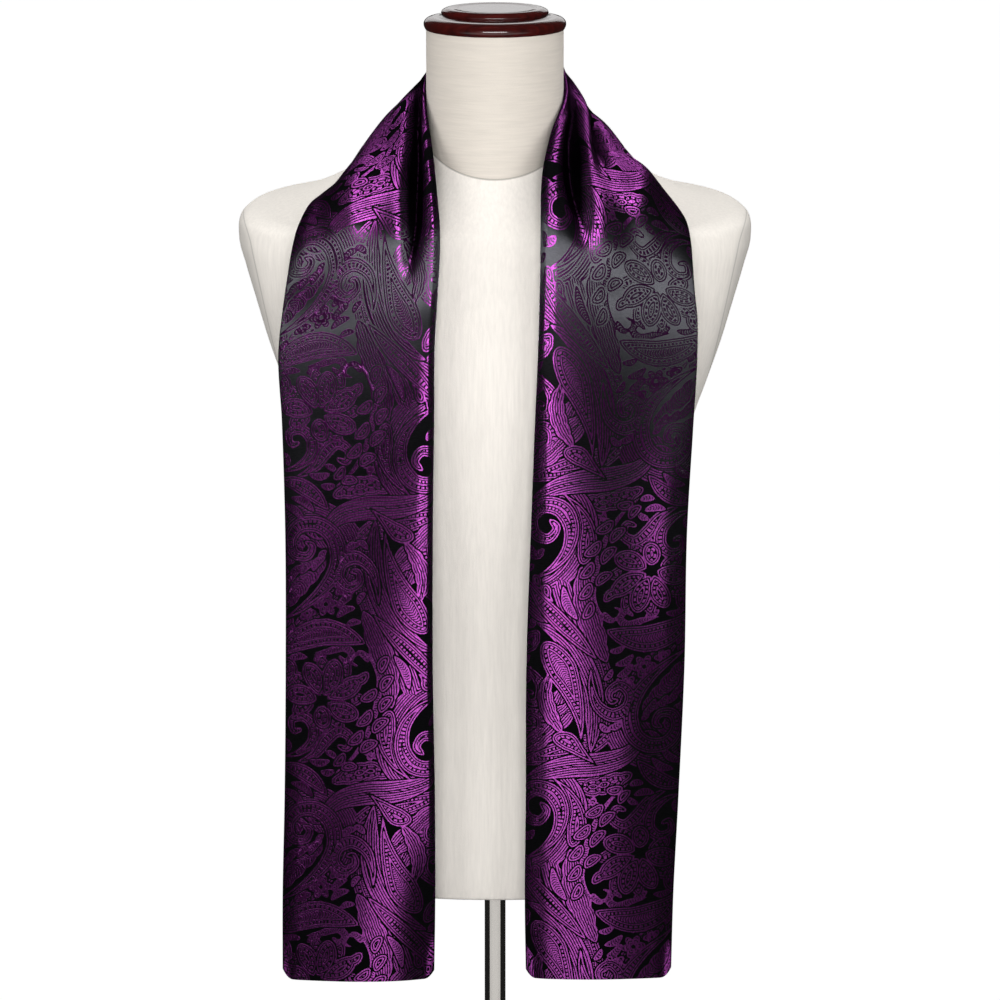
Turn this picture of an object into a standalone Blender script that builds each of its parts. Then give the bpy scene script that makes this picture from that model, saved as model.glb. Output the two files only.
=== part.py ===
"""A silk scarf, folded lengthwise in thirds and worn round the neck of a limbless dress
form that stands on a pole and a round base. Metres, +Z up, +X the viewer's right, the
front faces -Y, and the origin is on the floor under the pole."""

import math
from collections import namedtuple

import bmesh
import bpy
import numpy as np

MM = 0.001
SEAM_GAP = 0.3  # mm between neighbouring pieces

# Tables are in millimetres.

# The dress form: rings from the flat underside up to the neck seam and the cap. A ring
# is a superellipse at a side height, and slope tips it up towards the back.
Ring = namedtuple("Ring", "height half_width front back squareness slope")
TORSO_RINGS = (
    Ring(828, 144, 101, 108, 2.3, 0.00),
    Ring(860, 148, 104, 114, 2.3, 0.00),
    Ring(910, 149, 105, 117, 2.3, 0.00),
    Ring(970, 144, 103, 107, 2.3, 0.00),
    Ring(1040, 138, 102, 91, 2.3, 0.00),
    Ring(1110, 145, 106, 87, 2.3, 0.00),
    Ring(1180, 158, 113, 95, 2.4, 0.00),
    Ring(1230, 169, 117, 104, 2.4, 0.00),
    Ring(1265, 181, 119, 109, 2.5, 0.00),
    Ring(1300, 193, 118, 112, 2.5, 0.00),
    Ring(1335, 203, 115, 112, 2.6, 0.01),
    Ring(1365, 211.5, 111, 108, 2.6, 0.03),
    Ring(1388, 217, 107, 103, 2.6, 0.05),
    Ring(1401, 215, 103, 98, 2.5, 0.08),
    Ring(1408, 205, 100, 95, 2.4, 0.12),
    Ring(1413, 188, 97, 92, 2.2, 0.17),
    Ring(1421, 161, 94, 89, 2.1, 0.23),
    Ring(1431, 134, 90, 84, 2.0, 0.29),
    Ring(1442, 108, 86, 79, 2.0, 0.34),
    Ring(1454, 86, 82, 74, 2.0, 0.39),
    Ring(1467, 70, 79, 69, 2.0, 0.43),
    Ring(1480, 61, 77, 64, 2.0, 0.45),
)
NECK_RINGS = (
    Ring(1480, 61, 77, 64, 2.0, 0.45),
    Ring(1495, 58.6, 73, 61, 2.0, 0.36),
    Ring(1515, 58, 68, 59, 2.0, 0.22),
    Ring(1540, 58, 63, 58, 2.0, 0.08),
    Ring(1561.5, 58, 60, 58, 2.0, 0.00),
)
RING_POINTS = 40

# The turned cap on the neck, as a profile of radius and height above the neck.
TurnedPoint = namedtuple("TurnedPoint", "radius height")
CAP_PROFILE = (
    TurnedPoint(0, 17.2),
    TurnedPoint(42.5, 17.2),
    TurnedPoint(44.6, 15.9),
    TurnedPoint(45.2, 13.8),
    TurnedPoint(44.2, 11.6),
    TurnedPoint(47.0, 10.4),
    TurnedPoint(53.5, 10.2),
    TurnedPoint(57.6, 8.7),
    TurnedPoint(59.8, 6.0),
    TurnedPoint(60.0, 3.6),
    TurnedPoint(58.4, 1.0),
    TurnedPoint(56.5, 0),
    TurnedPoint(0, 0),
)
CAP_CENTRE_Y = -1
CAP_SIDES = 36

POLE_DIAMETER = 18.3
POLE_SIDES = 24
BASE_RADIUS = 190
BASE_EDGE_HEIGHT = 5
BASE_HEIGHT = 9
BASE_BEVEL = 3
BASE_SIDES = 48

# The scarf is one strip. A station is a section across the folded strip, from the fold
# beside the neck opening (inner) to the fold over the shoulder (outer). front and rear
# are how far the cloth stands out of and behind the line between the two folds, and the
# rolls are how far from each fold the front layer reaches its full height.
Station = namedtuple(
    "Station",
    "inner_x inner_y inner_z outer_x outer_y outer_z front rear inner_roll outer_roll",
)
STATIONS = (
    # The viewer's left end, from its hem up to the shoulder.
    Station(-51, -127, 767, -181.5, -125, 767, 13, 8, 11, 16),
    Station(-50, -127, 836, -181, -124, 836, 13, 8, 12, 18),
    Station(-50, -128, 924, -178.5, -124, 924, 12, 8, 13, 18),
    Station(-51.5, -128, 1040, -176.5, -123, 1040, 11, 7, 14, 18),
    Station(-51, -129, 1160, -176, -119, 1160, 11, 7, 14, 18),
    Station(-49.8, -130, 1250, -178, -115, 1248, 12, 7, 13, 18),
    Station(-49, -129, 1318, -180.5, -110, 1308, 12, 7, 12, 18),
    Station(-46.8, -126, 1356, -177, -106, 1340, 12, 7, 11, 18),
    Station(-45, -118, 1386, -173, -102, 1367, 13, 7, 10, 18),
    Station(-45, -106, 1414, -169, -95, 1390, 13, 6, 10, 18),
    Station(-47, -92, 1433, -164.5, -86, 1406, 12, 6, 10, 18),
    Station(-49, -78, 1451, -158.5, -75, 1419, 11, 5.5, 10, 18),
    Station(-52, -60, 1470, -148, -58, 1426, 8, 5, 10, 18),
    Station(-56, -38, 1491, -136, -37, 1434, 6.5, 4.5, 12, 16),
    Station(-60.5, -8, 1512, -124, -10, 1443, 5.5, 4, 16, 14),
    # Round the back of the neck.
    Station(-60.5, 16, 1526, -111, 27, 1452, 4, 4, 16, 14),
    Station(-50, 46, 1535, -88, 75, 1449, 4, 4, 16, 14),
    Station(-27, 65, 1537, -50, 101, 1434, 5.5, 4, 16, 14),
    Station(0, 71, 1537, 0, 112, 1425, 6, 4, 16, 14),
    Station(27, 65, 1537, 50, 101, 1434, 5.5, 4, 16, 14),
    Station(50, 46, 1535, 87, 75, 1449, 3.5, 4, 16, 14),
    Station(60.5, 16, 1526, 107, 28, 1452, 4, 4, 16, 14),
    # The viewer's right end, from the shoulder down to its hem.
    Station(60.5, -6, 1513, 118, -8, 1444, 5, 4, 16, 14),
    Station(55.5, -28, 1500, 126, -32, 1435, 6.5, 4.5, 12, 14),
    Station(49, -48, 1488, 138, -52, 1428, 8, 5, 10, 14),
    Station(44, -63, 1474, 152, -68, 1420, 10, 5, 10, 16),
    Station(39.5, -78, 1456, 160, -81, 1411, 11, 5.5, 10, 18),
    Station(37.8, -94, 1437, 163.5, -91, 1396, 12, 6, 10, 18),
    Station(37.5, -107, 1417, 165, -98, 1379, 12, 6, 10, 18),
    Station(37.2, -118, 1391, 166.5, -103, 1358, 11, 6, 10, 18),
    Station(36.5, -125, 1357, 169, -107, 1333, 10, 6, 11, 18),
    Station(35.5, -128, 1318, 169, -111, 1303, 10, 7, 12, 18),
    Station(32.7, -130, 1250, 166, -116, 1246, 10, 7, 13, 18),
    Station(29.5, -129, 1160, 161.5, -120, 1160, 9.5, 7, 14, 18),
    Station(25.8, -128, 1040, 160, -123, 1040, 9.5, 7, 14, 18),
    Station(25.4, -128, 924, 155.7, -124, 924, 10, 8, 13, 18),
    Station(24.7, -127, 836, 152, -124, 836, 10, 8, 12, 17),
    Station(25.6, -127, 768, 150.8, -125, 768, 10, 8, 11, 15),
)
CENTRE_BACK = 18  # the station that lies at the middle of the back of the neck

# Gathers and creases. along is the distance from the centre back, negative on the
# viewer's left; across is the distance from the inner fold; a negative height is a
# trough. Each runs from its start to its end and fades out at both.
Fold = namedtuple("Fold", "start end across_start across_end width height")
FOLDS = (
    Fold(-325, -100, 18, 17, 6.5, -11),
    Fold(-345, -190, 3, 3, 5, 4),
    Fold(-300, -150, 60, 42, 14, 5),
    Fold(-260, -120, 84, 66, 10, -4),
    Fold(-345, -285, 30, 14, 9, 5),
    Fold(100, 305, 13, 32, 7.5, -11),
    Fold(120, 250, 42, 60, 9, -7),
    Fold(130, 230, 62, 84, 8, 5),
    Fold(225, 315, 52, 62, 16, 8),
    Fold(-190, 0, 16, 14, 12, -7),
    Fold(-165, -20, 32, 30, 14, -4),
    Fold(-10, 175, 14, 20, 12, -6),
    Fold(0, 165, 32, 34, 17, -11),
    Fold(-90, 60, 42, 52, 10, -4),
    Fold(-40, 100, 74, 66, 11, -3),
)

# The cloth's wall, and how its layers lie: the front third, the third that is folded in
# from the outer fold (middle) and the third that is folded round from the inner fold
# (rear). A gather is passed on to the hidden layers a little more weakly.
WALL = 1.2
LAYER_STEP = 2.8
REAR_LAP = 9  # how far short of the outer fold the rear third's raw edge ends
MIDDLE_LAP = 15  # how far short of the inner fold the middle third's raw edge ends
MIDDLE_SHARE = 0.80
REAR_SHARE = 0.78
FOLD_RADIUS = 1.1
CORNER_STEPS = (0.03, 0.13, 0.34, 0.66, 1.0)
HIDDEN_CORNER_STEPS = (0.10, 0.45)
FRONT_STEPS = 10
HIDDEN_STEPS = 6
CROWDING = 1.4  # above 1, the points of a layer crowd towards the gathers by the inner fold

# Where the strip is parted into its three stretches, and the spacing of its sections.
SHOULDER_LEFT = -132
SHOULDER_RIGHT = 132
CHEST = 345
FINE_STEP = 18
COARSE_STEP = 62


def clear_scene():
    for obj in list(bpy.data.objects):
        bpy.data.objects.remove(obj)


def material(name, color, roughness, metallic=0.0):
    made = bpy.data.materials.new(name)
    made.use_nodes = True
    shader = made.node_tree.nodes["Principled BSDF"]
    shader.inputs["Base Color"].default_value = (*color, 1.0)
    shader.inputs["Roughness"].default_value = roughness
    shader.inputs["Metallic"].default_value = metallic
    made.diffuse_color = (*color, 1.0)
    return made


def add_object(name, mesh_maker, look):
    """A named object whose mesh mesh_maker builds in millimetres, closed and facing out."""
    shape = bmesh.new()
    mesh_maker(shape)
    bmesh.ops.scale(shape, vec=(MM, MM, MM), verts=shape.verts)
    bmesh.ops.recalc_face_normals(shape, faces=shape.faces)
    mesh = bpy.data.meshes.new(name)
    shape.to_mesh(mesh)
    shape.free()
    mesh.materials.append(look)
    mesh.shade_smooth()
    mesh.set_sharp_from_angle(angle=math.radians(40))
    obj = bpy.data.objects.new(name, mesh)
    bpy.context.scene.collection.objects.link(obj)
    return obj


def bridge(shape, loops):
    """Faces between closed loops of equal length."""
    for lower, upper in zip(loops, loops[1:]):
        for i, vertex in enumerate(lower):
            j = (i + 1) % len(lower)
            shape.faces.new((vertex, lower[j], upper[j], upper[i]))


# The dress form


def ring_points(ring, lift=0.0):
    """The points of a form's ring, from the viewer's right round past the back."""
    points = []
    for i in range(RING_POINTS):
        angle = 2 * math.pi * i / RING_POINTS
        power = 2 / ring.squareness
        x = ring.half_width * math.copysign(abs(math.cos(angle)) ** power, math.cos(angle))
        y = math.copysign(abs(math.sin(angle)) ** power, math.sin(angle))
        y *= ring.back if y > 0 else ring.front
        points.append((x, y, ring.height + lift + ring.slope * y))
    return points


def loft_rings(shape, rings, lift=0.0):
    loops = [[shape.verts.new(p) for p in ring_points(ring, lift)] for ring in rings]
    bridge(shape, loops)
    shape.faces.new(loops[0])
    shape.faces.new(loops[-1])


def build_torso(shape):
    loft_rings(shape, TORSO_RINGS)


def build_neck(shape):
    loft_rings(shape, NECK_RINGS, lift=SEAM_GAP / math.cos(math.atan(NECK_RINGS[0].slope)))


def turned(shape, profile, sides, centre_y, bottom):
    """A solid of revolution about a vertical axis; the profile runs from axis to axis."""
    loops = []
    for point in profile[1:-1]:
        loop = []
        for i in range(sides):
            angle = 2 * math.pi * i / sides
            x = point.radius * math.cos(angle)
            y = centre_y + point.radius * math.sin(angle)
            loop.append(shape.verts.new((x, y, bottom + point.height)))
        loops.append(loop)
    bridge(shape, loops)
    shape.faces.new(loops[0])
    shape.faces.new(loops[-1])


def build_cap(shape):
    neck_top = NECK_RINGS[-1].height + SEAM_GAP / math.cos(math.atan(NECK_RINGS[0].slope))
    turned(shape, CAP_PROFILE, CAP_SIDES, CAP_CENTRE_Y, neck_top + SEAM_GAP)


def build_pole(shape):
    bottom = BASE_HEIGHT + SEAM_GAP
    length = TORSO_RINGS[0].height - SEAM_GAP - bottom
    radius = POLE_DIAMETER / 2
    profile = (
        TurnedPoint(0, length),
        TurnedPoint(radius, length),
        TurnedPoint(radius, 0),
        TurnedPoint(0, 0),
    )
    turned(shape, profile, POLE_SIDES, 0, bottom)


def build_base(shape):
    boss = POLE_DIAMETER
    profile = (
        TurnedPoint(0, BASE_HEIGHT),
        TurnedPoint(boss, BASE_HEIGHT),
        TurnedPoint(boss + BASE_BEVEL, BASE_HEIGHT - BASE_BEVEL / 2),
        TurnedPoint(BASE_RADIUS - BASE_BEVEL, BASE_EDGE_HEIGHT + BASE_BEVEL / 2),
        TurnedPoint(BASE_RADIUS, BASE_EDGE_HEIGHT),
        TurnedPoint(BASE_RADIUS, 0),
        TurnedPoint(0, 0),
    )
    turned(shape, profile, BASE_SIDES, 0, 0)


# The scarf


def table_of_stations():
    """The stations' columns, and each one's distance along the strip."""
    table = np.array(STATIONS, dtype=float)
    middles = (table[:, 0:3] + table[:, 3:6]) / 2
    steps = np.linalg.norm(np.diff(middles, axis=0), axis=1)
    along = np.concatenate([[0.0], np.cumsum(steps)])
    return table, along - along[CENTRE_BACK]


def station_at(where, table, along):
    """The station at a distance along the strip, on a smooth curve through the table."""
    slopes = np.gradient(table, along, axis=0)
    i = int(np.clip(np.searchsorted(along, where) - 1, 0, len(along) - 2))
    span = along[i + 1] - along[i]
    t = (where - along[i]) / span
    from_start = (1 + 2 * t) * (1 - t) ** 2 * table[i] + t * (1 - t) ** 2 * span * slopes[i]
    from_end = t * t * (3 - 2 * t) * table[i + 1] - t * t * (1 - t) * span * slopes[i + 1]
    return Station(*(from_start + from_end))


def ends_of(station):
    inner = np.array([station.inner_x, station.inner_y, station.inner_z])
    outer = np.array([station.outer_x, station.outer_y, station.outer_z])
    return inner, outer


def section_frame(where, table, along):
    """Origin at the inner fold, the direction across, the direction out of the front."""
    probe = 2.0
    inner, outer = ends_of(station_at(where, table, along))
    before = sum(ends_of(station_at(max(where - probe, along[0]), table, along)))
    after = sum(ends_of(station_at(min(where + probe, along[-1]), table, along)))
    across = (outer - inner) / np.linalg.norm(outer - inner)
    out = np.cross(after - before, across)
    return inner, across, out / np.linalg.norm(out)


def rise(distance, roll):
    """How far a layer has risen from a fold: 0 at the fold, 1 from roll onwards."""
    left = np.clip(1 - distance / roll, 0, 1)
    return np.sqrt(1 - left * left)


def gather(where, across):
    """The height that gathers and creases add at a place on the strip."""
    height = 0.0
    for fold in FOLDS:
        t = (where - fold.start) / (fold.end - fold.start)
        if 0 < t < 1:
            centre = fold.across_start + t * (fold.across_end - fold.across_start)
            fade = math.sin(math.pi * t) ** 0.8
            height += fold.height * fade * np.exp(-(((across - centre) / fold.width) ** 2))
    return height


def crowded(start, end, steps):
    """Places from start to end, closer together near start."""
    return start + (end - start) * np.linspace(0, 1, steps + 1) ** CROWDING


def hidden_roll(height):
    """A hidden layer's roll, short enough that its fold keeps its smallest radius."""
    return height * height / FOLD_RADIUS


def cloth_path(where, station):
    """The middle line of the folded cloth in one section: across and out, from the raw
    edge of the rear third round the inner fold, over the front, round the outer fold."""
    inner, outer = ends_of(station)
    width = np.linalg.norm(outer - inner) - WALL
    corner = np.array(CORNER_STEPS)
    hidden = np.array(HIDDEN_CORNER_STEPS)

    shared = crowded(MIDDLE_LAP, width - station.outer_roll, HIDDEN_STEPS)[::-1]
    rear_roll = min(station.inner_roll, hidden_roll(station.rear))
    rear = np.concatenate([[width - REAR_LAP], shared, rear_roll * hidden[::-1]])
    rear_out = -station.rear * rise(rear, rear_roll) + REAR_SHARE * gather(where, rear)

    flat = crowded(station.inner_roll, width - station.outer_roll, FRONT_STEPS)
    front = np.concatenate(
        [
            [0.0],
            station.inner_roll * corner[:-1],
            flat,
            width - station.outer_roll * corner[-2::-1],
            [width],
        ]
    )
    front_out = rise(front, station.inner_roll) * rise(width - front, station.outer_roll)
    front_out = station.front * front_out + gather(where, front)

    depth = station.rear - LAYER_STEP
    middle_roll = min(station.outer_roll, hidden_roll(FOLD_RADIUS + depth))
    middle = np.concatenate([width - middle_roll * hidden, shared])
    middle_out = -depth * rise(width - middle, middle_roll) + MIDDLE_SHARE * gather(
        where, middle
    )

    across = np.concatenate([rear, front, middle]) + WALL / 2
    return across, np.concatenate([rear_out, front_out, middle_out])


def wall_loop(where, table, along):
    """The closed outline of the cloth's wall in one section, as points in space."""
    across, out = cloth_path(where, station_at(where, table, along))
    path = np.stack([across, out], axis=1)
    steps = np.diff(path, axis=0)
    steps /= np.linalg.norm(steps, axis=1)[:, None]
    turns = np.concatenate([steps[:1], steps[:-1] + steps[1:], steps[-1:]])
    turns /= np.linalg.norm(turns, axis=1)[:, None]
    normals = np.stack([-turns[:, 1], turns[:, 0]], axis=1)
    outline = np.concatenate([path + normals * WALL / 2, (path - normals * WALL / 2)[::-1]])
    origin, right, forward = section_frame(where, table, along)
    return origin + outline[:, :1] * right + outline[:, 1:] * forward


def sections_between(start, end):
    """Distances along the strip: fine over the shoulders and coarse on the straight falls."""
    marks = sorted({start, end} | {m for m in (-CHEST, CHEST) if start < m < end})
    places = []
    for low, high in zip(marks, marks[1:]):
        fine = max(abs(low), abs(high)) <= CHEST
        count = max(1, round((high - low) / (FINE_STEP if fine else COARSE_STEP)))
        places.extend(np.linspace(low, high, count, endpoint=False))
    return places + [end]


def build_stretch(start, end):
    """A maker for the wall of one stretch of the strip, closed at both of its ends."""

    def build(shape):
        table, along = table_of_stations()
        first = along[0] if start is None else start
        last = along[-1] if end is None else end
        loops = []
        for where in sections_between(first, last):
            loops.append([shape.verts.new(p) for p in wall_loop(where, table, along)])
        bridge(shape, loops)
        for loop in (loops[0], loops[-1]):
            for i in range(len(loop) // 2 - 1):
                shape.faces.new((loop[i], loop[i + 1], loop[-2 - i], loop[-1 - i]))

    return build


def main():
    clear_scene()
    silk = material("purple_paisley_silk", (0.16, 0.03, 0.19), 0.35)
    linen = material("cream_linen", (0.80, 0.76, 0.68), 0.85)
    wood = material("dark_mahogany", (0.12, 0.02, 0.015), 0.25)
    steel = material("polished_steel", (0.60, 0.60, 0.60), 0.25, 1.0)
    half_gap = SEAM_GAP / 2
    add_object("scarf_left_fall", build_stretch(None, SHOULDER_LEFT - half_gap), silk)
    add_object(
        "scarf_neck",
        build_stretch(SHOULDER_LEFT + half_gap, SHOULDER_RIGHT - half_gap),
        silk,
    )
    add_object("scarf_right_fall", build_stretch(SHOULDER_RIGHT + half_gap, None), silk)
    add_object("form_torso", build_torso, linen)
    add_object("form_neck", build_neck, linen)
    add_object("form_neck_cap", build_cap, wood)
    add_object("form_pole", build_pole, steel)
    add_object("form_base", build_base, steel)


main()
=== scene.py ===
"""The looks of the silk scarf on its dress form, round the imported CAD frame.

Lengths in the tables are millimetres, as in the part's own source; meshes are in metres."""

import math
from collections import namedtuple

import bmesh
import bpy
import numpy as np
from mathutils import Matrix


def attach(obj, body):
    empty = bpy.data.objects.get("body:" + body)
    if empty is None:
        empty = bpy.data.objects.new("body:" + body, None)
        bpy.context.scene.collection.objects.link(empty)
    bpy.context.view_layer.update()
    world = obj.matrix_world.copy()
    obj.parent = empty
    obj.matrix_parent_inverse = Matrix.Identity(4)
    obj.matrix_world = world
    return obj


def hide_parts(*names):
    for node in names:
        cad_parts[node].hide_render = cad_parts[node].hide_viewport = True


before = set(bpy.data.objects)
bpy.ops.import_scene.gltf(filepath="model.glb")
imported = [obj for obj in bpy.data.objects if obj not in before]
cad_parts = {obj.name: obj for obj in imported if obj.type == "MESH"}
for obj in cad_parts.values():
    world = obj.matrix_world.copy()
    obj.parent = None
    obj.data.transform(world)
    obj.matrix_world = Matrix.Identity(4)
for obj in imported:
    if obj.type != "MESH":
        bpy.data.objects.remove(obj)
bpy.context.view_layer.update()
MM = 0.001


def rows_of(kind, *rows):
    return tuple(kind(*row) for row in rows)


def new_object(name, data):
    made = bpy.data.objects.new(name, data)
    bpy.context.scene.collection.objects.link(made)
    return made


# ---- Camera, at the photograph's distance and angle ----

CAMERA_AIM = (0.0043, 0.0, 1.1555)
CAMERA_DISTANCE = 4.2
CAMERA_PITCH = math.radians(12.6)
CAMERA_FIELD = math.radians(11.691)

camera_data = bpy.data.cameras.new("camera")
camera_data.angle = CAMERA_FIELD
camera = new_object("camera", camera_data)
camera.location = (
    CAMERA_AIM[0],
    CAMERA_AIM[1] - CAMERA_DISTANCE * math.cos(CAMERA_PITCH),
    CAMERA_AIM[2] + CAMERA_DISTANCE * math.sin(CAMERA_PITCH),
)
camera.rotation_euler = (math.pi / 2 - CAMERA_PITCH, 0.0, 0.0)
bpy.context.scene.camera = camera

# ---- The scarf's form: the part's stations and folds, refitted to the photograph ----

# The scarf is one strip. A station is a section across the folded strip, from the fold
# beside the neck opening (inner) to the fold over the shoulder (outer). front and rear
# are how far the cloth stands out of and behind the line between the two folds, and the
# rolls are how far from each fold the front layer reaches its full height.
Station = namedtuple(
    "Station",
    "inner_x inner_y inner_z outer_x outer_y outer_z front rear inner_roll outer_roll",
)
STATIONS = rows_of(
    Station,
    # The viewer's left end, from its hem up to the shoulder.
    (-51, -127, 767, -181.5, -125, 767, 13, 8, 8, 16),
    (-50, -127, 836, -181, -124, 836, 13, 8, 6, 18),
    (-50, -128, 924, -178.5, -124, 924, 12, 8, 4, 18),
    (-51.5, -128, 1040, -176.5, -123, 1040, 11, 7, 4, 18),
    (-51, -129, 1160, -176, -119, 1160, 11, 7, 3, 18),
    (-49.8, -130, 1250, -178, -115, 1248, 12, 7, 3, 18),
    (-49, -129, 1318, -180.5, -110, 1308, 12, 7, 3, 18),
    (-46.8, -126, 1356, -177, -106, 1340, 12, 7, 3, 18),
    (-45, -118, 1386, -173, -102, 1367, 13, 7, 3, 18),
    (-45, -106, 1414, -169, -95, 1390, 13, 6, 3, 18),
    (-47, -92, 1433, -164.5, -86, 1406, 12, 6, 3, 18),
    (-49, -78, 1451, -157.5, -75, 1419, 11, 5.5, 3, 18),
    (-52, -60, 1470, -149, -58, 1426, 8, 5, 3, 18),
    (-56, -38, 1491, -136, -37, 1434, 6.5, 4.5, 3, 16),
    (-60.5, -8, 1512, -124, -10, 1443, 5.5, 4, 9, 14),
    # Round the back of the neck.
    (-60.5, 16, 1526, -111, 27, 1452, 4, 4, 8, 14),
    (-50, 46, 1535, -88, 75, 1449, 4, 4, 14, 14),
    (-27, 65, 1537, -50, 101, 1434, 5.5, 4, 14, 14),
    (0, 71, 1537, 0, 112, 1425, 6, 4, 14, 14),
    (27, 65, 1537, 50, 101, 1434, 5.5, 4, 14, 14),
    (50, 46, 1535, 87, 75, 1449, 3.5, 4, 14, 14),
    (60.5, 16, 1526, 107, 28, 1452, 4, 4, 8, 14),
    # The viewer's right end, from the shoulder down to its hem.
    (60.5, -6, 1513, 118, -8, 1444, 5, 4, 3, 14),
    (55.5, -28, 1500, 126, -32, 1435, 6.5, 4.5, 3, 14),
    (49, -48, 1488, 138, -52, 1428, 8, 5, 3, 14),
    (44, -63, 1474, 152, -68, 1420, 10, 5, 3, 16),
    (39.5, -78, 1456, 160, -81, 1411, 11, 5.5, 3, 18),
    (37.8, -94, 1437, 163.5, -91, 1396, 12, 6, 3, 18),
    (37.5, -107, 1417, 165, -98, 1379, 12, 6, 3, 18),
    (37.2, -118, 1391, 166.5, -103, 1358, 11, 6, 3, 18),
    (36.5, -125, 1357, 169, -107, 1333, 10, 6, 3, 18),
    (35.5, -128, 1318, 169, -111, 1303, 10, 7, 3, 18),
    (32.7, -130, 1250, 166, -116, 1246, 10, 7, 9, 18),
    (29.5, -129, 1160, 161.5, -120, 1160, 9.5, 7, 14, 18),
    (25.8, -128, 1040, 160, -123, 1040, 9.5, 7, 19, 18),
    (25.4, -128, 924, 155.7, -124, 924, 10, 8, 20, 18),
    (24.7, -127, 836, 152, -124, 836, 10, 8, 21, 17),
    (25.6, -127, 768, 150.8, -125, 768, 10, 8, 21, 15),
)
CENTRE_BACK = 18  # the station that lies at the middle of the back of the neck

# Beside the neck opening the front's first few millimetres lean towards the viewer.
# lean is how far they rise for each millimetre across.
Rim = namedtuple("Rim", "along lean")
RIM_WIDTH = 12
RIM_SHARE = 0.65  # of the front's height, the most that the lean takes away
RIMS = rows_of(
    Rim,
    (-640, 0.0),
    (-540, 0.13),
    (-300, 0.17),
    (-240, 0.21),
    (-220, 0.36),
    (-200, 0.52),
    (-168, 0.8),
    (-120, 0.5),
    (0, 0.0),
    (120, 0.5),
    (168, 0.8),
    (200, 0.6),
    (220, 0.38),
    (240, 0.25),
    (300, 0.18),
    (540, 0.12),
    (640, 0.0),
)

# Gathers and creases. along is the distance from the centre back, negative on the
# viewer's left; across is the distance from the inner fold; a negative height is a
# trough. Each runs from its start to its end and fades out at both.
Fold = namedtuple("Fold", "start end across_start across_end width height")
FOLDS = rows_of(
    Fold,
    (-330, -88, 25, 2, 5, -9),
    (-334, -176, 25, 11, 8.5, -7),
    (-310, -150, 84, 54, 20, 6),
    (-275, -120, 104, 76, 11, -4),
    (96, 302, 0, 36, 7, -10),
    (168, 300, 13, 36, 11, -7),
    (128, 238, 27, 50, 6.5, -8),
    (140, 300, 76, 92, 20, 8),
    (225, 330, 50, 62, 18, 3),
    (-190, 0, 10, 14, 12, -7),
    (-165, -20, 32, 30, 14, -4),
    (-10, 150, 14, 12, 12, -6),
    (0, 165, 32, 34, 17, -11),
    (-90, 60, 42, 52, 10, -4),
    (-40, 100, 74, 66, 11, -3),
)


def between(t, span, start, end, start_slope, end_slope):
    """The smooth curve from start to end with these slopes, at t from 0 to 1."""
    return (
        (1 + 2 * t) * (1 - t) ** 2 * start
        + t * (1 - t) ** 2 * span * start_slope
        + t * t * (3 - 2 * t) * end
        - t * t * (1 - t) * span * end_slope
    )


def distances(points):
    """Each point's distance from the first, along the line through all of them."""
    steps = np.linalg.norm(np.diff(points, axis=0), axis=1)
    return np.concatenate([[0.0], np.cumsum(steps)])


def table_of_stations():
    """The stations' columns, and each one's distance along the strip."""
    table = np.array(STATIONS, dtype=float)
    along = distances((table[:, 0:3] + table[:, 3:6]) / 2)
    return table, along - along[CENTRE_BACK]


def station_at(where, table, along):
    """The station at a distance along the strip, on a smooth curve through the table."""
    slopes = np.gradient(table, along, axis=0)
    i = int(np.clip(np.searchsorted(along, where) - 1, 0, len(along) - 2))
    span = along[i + 1] - along[i]
    t = (where - along[i]) / span
    return Station(*between(t, span, table[i], table[i + 1], slopes[i], slopes[i + 1]))


def ends_of(station):
    inner = np.array([station.inner_x, station.inner_y, station.inner_z])
    outer = np.array([station.outer_x, station.outer_y, station.outer_z])
    return inner, outer


def section_frame(where, table, along):
    """Origin at the inner fold, the direction across, the direction out of the front."""
    probe = 2.0
    inner, outer = ends_of(station_at(where, table, along))
    before = sum(ends_of(station_at(max(where - probe, along[0]), table, along)))
    after = sum(ends_of(station_at(min(where + probe, along[-1]), table, along)))
    across = (outer - inner) / np.linalg.norm(outer - inner)
    out = np.cross(after - before, across)
    return inner, across, out / np.linalg.norm(out)


def rise(distance, roll):
    """How far a layer has risen from a fold: 0 at the fold, 1 from roll onwards."""
    left = np.clip(1 - distance / roll, 0, 1)
    return np.sqrt(1 - left * left)


def eased(t):
    t = np.clip(t, 0, 1)
    return t * t * (3 - 2 * t)


def folded(folds, where, across):
    """The height that a table of folds adds at a place on the strip."""
    height = 0.0
    for fold in folds:
        t = (where - fold.start) / (fold.end - fold.start)
        if 0 < t < 1:
            centre = fold.across_start + t * (fold.across_end - fold.across_start)
            fade = eased(2.4 * min(t, 1 - t))
            height += fold.height * fade * np.exp(-(((across - centre) / fold.width) ** 2))
    return height


def gather(where, across):
    return folded(FOLDS, where, across)


# How the cloth's layers lie behind the front one.
WALL = 1.2
LAYER_STEP = 2.8
REAR_LAP = 9
MIDDLE_LAP = 15
MIDDLE_SHARE = 0.80
REAR_SHARE = 0.78
FOLD_RADIUS = 1.1

# The strip's three stretches, and the spacing of rows and columns of the fine mesh.
SHOULDER_LEFT = -132
SHOULDER_RIGHT = 132
ROW_STEP = 1.32
FRONT_COLUMNS = 106
REAR_COLUMNS = 44
MIDDLE_COLUMNS = 7
ROLL_STEPS = 14
HEM_CORNER = 9  # how far from a fold the hem starts to round off
HEM_LIFT = 8
HEM_FADE = 60
# Painted shade: a gather deeper than the first of these is painted darker, down to black at the second.
PAINTED_SHADE_START = 1.5
PAINTED_SHADE_END = 6.5


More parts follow.
